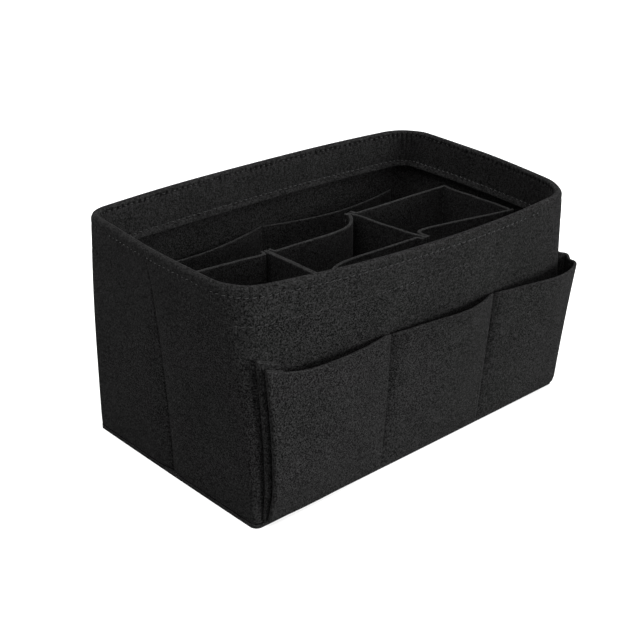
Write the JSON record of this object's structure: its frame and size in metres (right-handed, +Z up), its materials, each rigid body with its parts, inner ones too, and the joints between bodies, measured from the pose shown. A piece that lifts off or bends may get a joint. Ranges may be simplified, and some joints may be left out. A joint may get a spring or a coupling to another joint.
{
  "type": "purse organizer insert",
  "caption": "Open felt tub that stands inside a handbag, with a stitched rim, outside and inside pockets, and a lift-out felt divider of open cells.",
  "frame": {"origin": "middle of the underside of the base panel, on the surface that the tub stands on", "axes": "+X along the front towards the right, +Y from the front pockets towards the back, +Z up out of the tub's mouth"},
  "size_m": [0.2911, 0.197, 0.153],
  "materials": {
    "felt": "matte needle-punched black felt with short loose fibres",
    "divider_felt": "matte needle-punched black felt with paler cut edges",
    "thread": "twisted black sewing thread"
  },
  "bodies": {
    "tub": {"wall_front": "felt", "wall_back": "felt", "rim_facing": "felt", "base_panel": "felt", "rim_thread_upper_outer": "thread", "rim_thread_upper_inner": "thread", "rim_thread_lower_outer": "thread", "rim_thread_lower_inner": "thread", "side_seam_thread_left": "thread", "side_seam_thread_right": "thread", "front_pleat": "felt", "front_seam_thread_left": "thread", "front_seam_thread_right": "thread", "back_seam_thread": "thread"},
    "pocket_left": {"front_pocket_left": "felt"},
    "pocket_middle": {"front_pocket_middle": "felt"},
    "pocket_right": {"front_pocket_right": "felt", "front_gusset": "felt"},
    "inner_pocket_left": {"back_pocket_left": "felt"},
    "inner_pocket_right": {"back_pocket_right": "felt"},
    "divider": {"divider_back_left": "divider_felt", "divider_back_middle": "divider_felt", "divider_back_right": "divider_felt", "divider_front_left": "divider_felt", "divider_front_middle": "divider_felt", "divider_front_right": "divider_felt", "divider_cross_left": "divider_felt", "divider_cross_right": "divider_felt", "divider_end_left": "divider_felt", "divider_end_right": "divider_felt", "divider_corner_thread_back_left": "thread", "divider_corner_thread_front_left": "thread", "divider_corner_thread_back_right": "thread", "divider_corner_thread_front_right": "thread", "divider_seam_thread_back_left": "thread", "divider_seam_thread_front_left": "thread", "divider_seam_thread_back_right": "thread", "divider_seam_thread_front_right": "thread"}
  },
  "joints": [
    {"name": "pocket_left_open", "type": "hinge", "parent": "tub", "child": "pocket_left", "pos_m": [-0.0835, -0.0854, 0.0035], "axis": [1, 0, 0], "range_deg": [0, 6], "stiffness_Nm_per_rad": 0.5},
    {"name": "pocket_middle_open", "type": "hinge", "parent": "tub", "child": "pocket_middle", "pos_m": [0.0095, -0.0836, 0.0035], "axis": [1, 0, 0], "range_deg": [0, 6], "stiffness_Nm_per_rad": 0.5},
    {"name": "pocket_right_open", "type": "hinge", "parent": "tub", "child": "pocket_right", "pos_m": [0.0955, -0.0817, 0.0035], "axis": [1, 0, 0], "range_deg": [0, 6], "stiffness_Nm_per_rad": 0.5},
    {"name": "inner_pocket_left_open", "type": "hinge", "parent": "tub", "child": "inner_pocket_left", "pos_m": [-0.065, 0.0806, 0.0035], "axis": [1, 0, 0], "range_deg": [0, 5], "stiffness_Nm_per_rad": 0.5},
    {"name": "inner_pocket_right_open", "type": "hinge", "parent": "tub", "child": "inner_pocket_right", "pos_m": [0.065, 0.0806, 0.0035], "axis": [1, 0, 0], "range_deg": [0, 5], "stiffness_Nm_per_rad": 0.5},
    {"name": "divider_lift", "type": "slide", "parent": "tub", "child": "divider", "axis": [0, 0, 1], "range_m": [0, 0.16]}
  ]
}
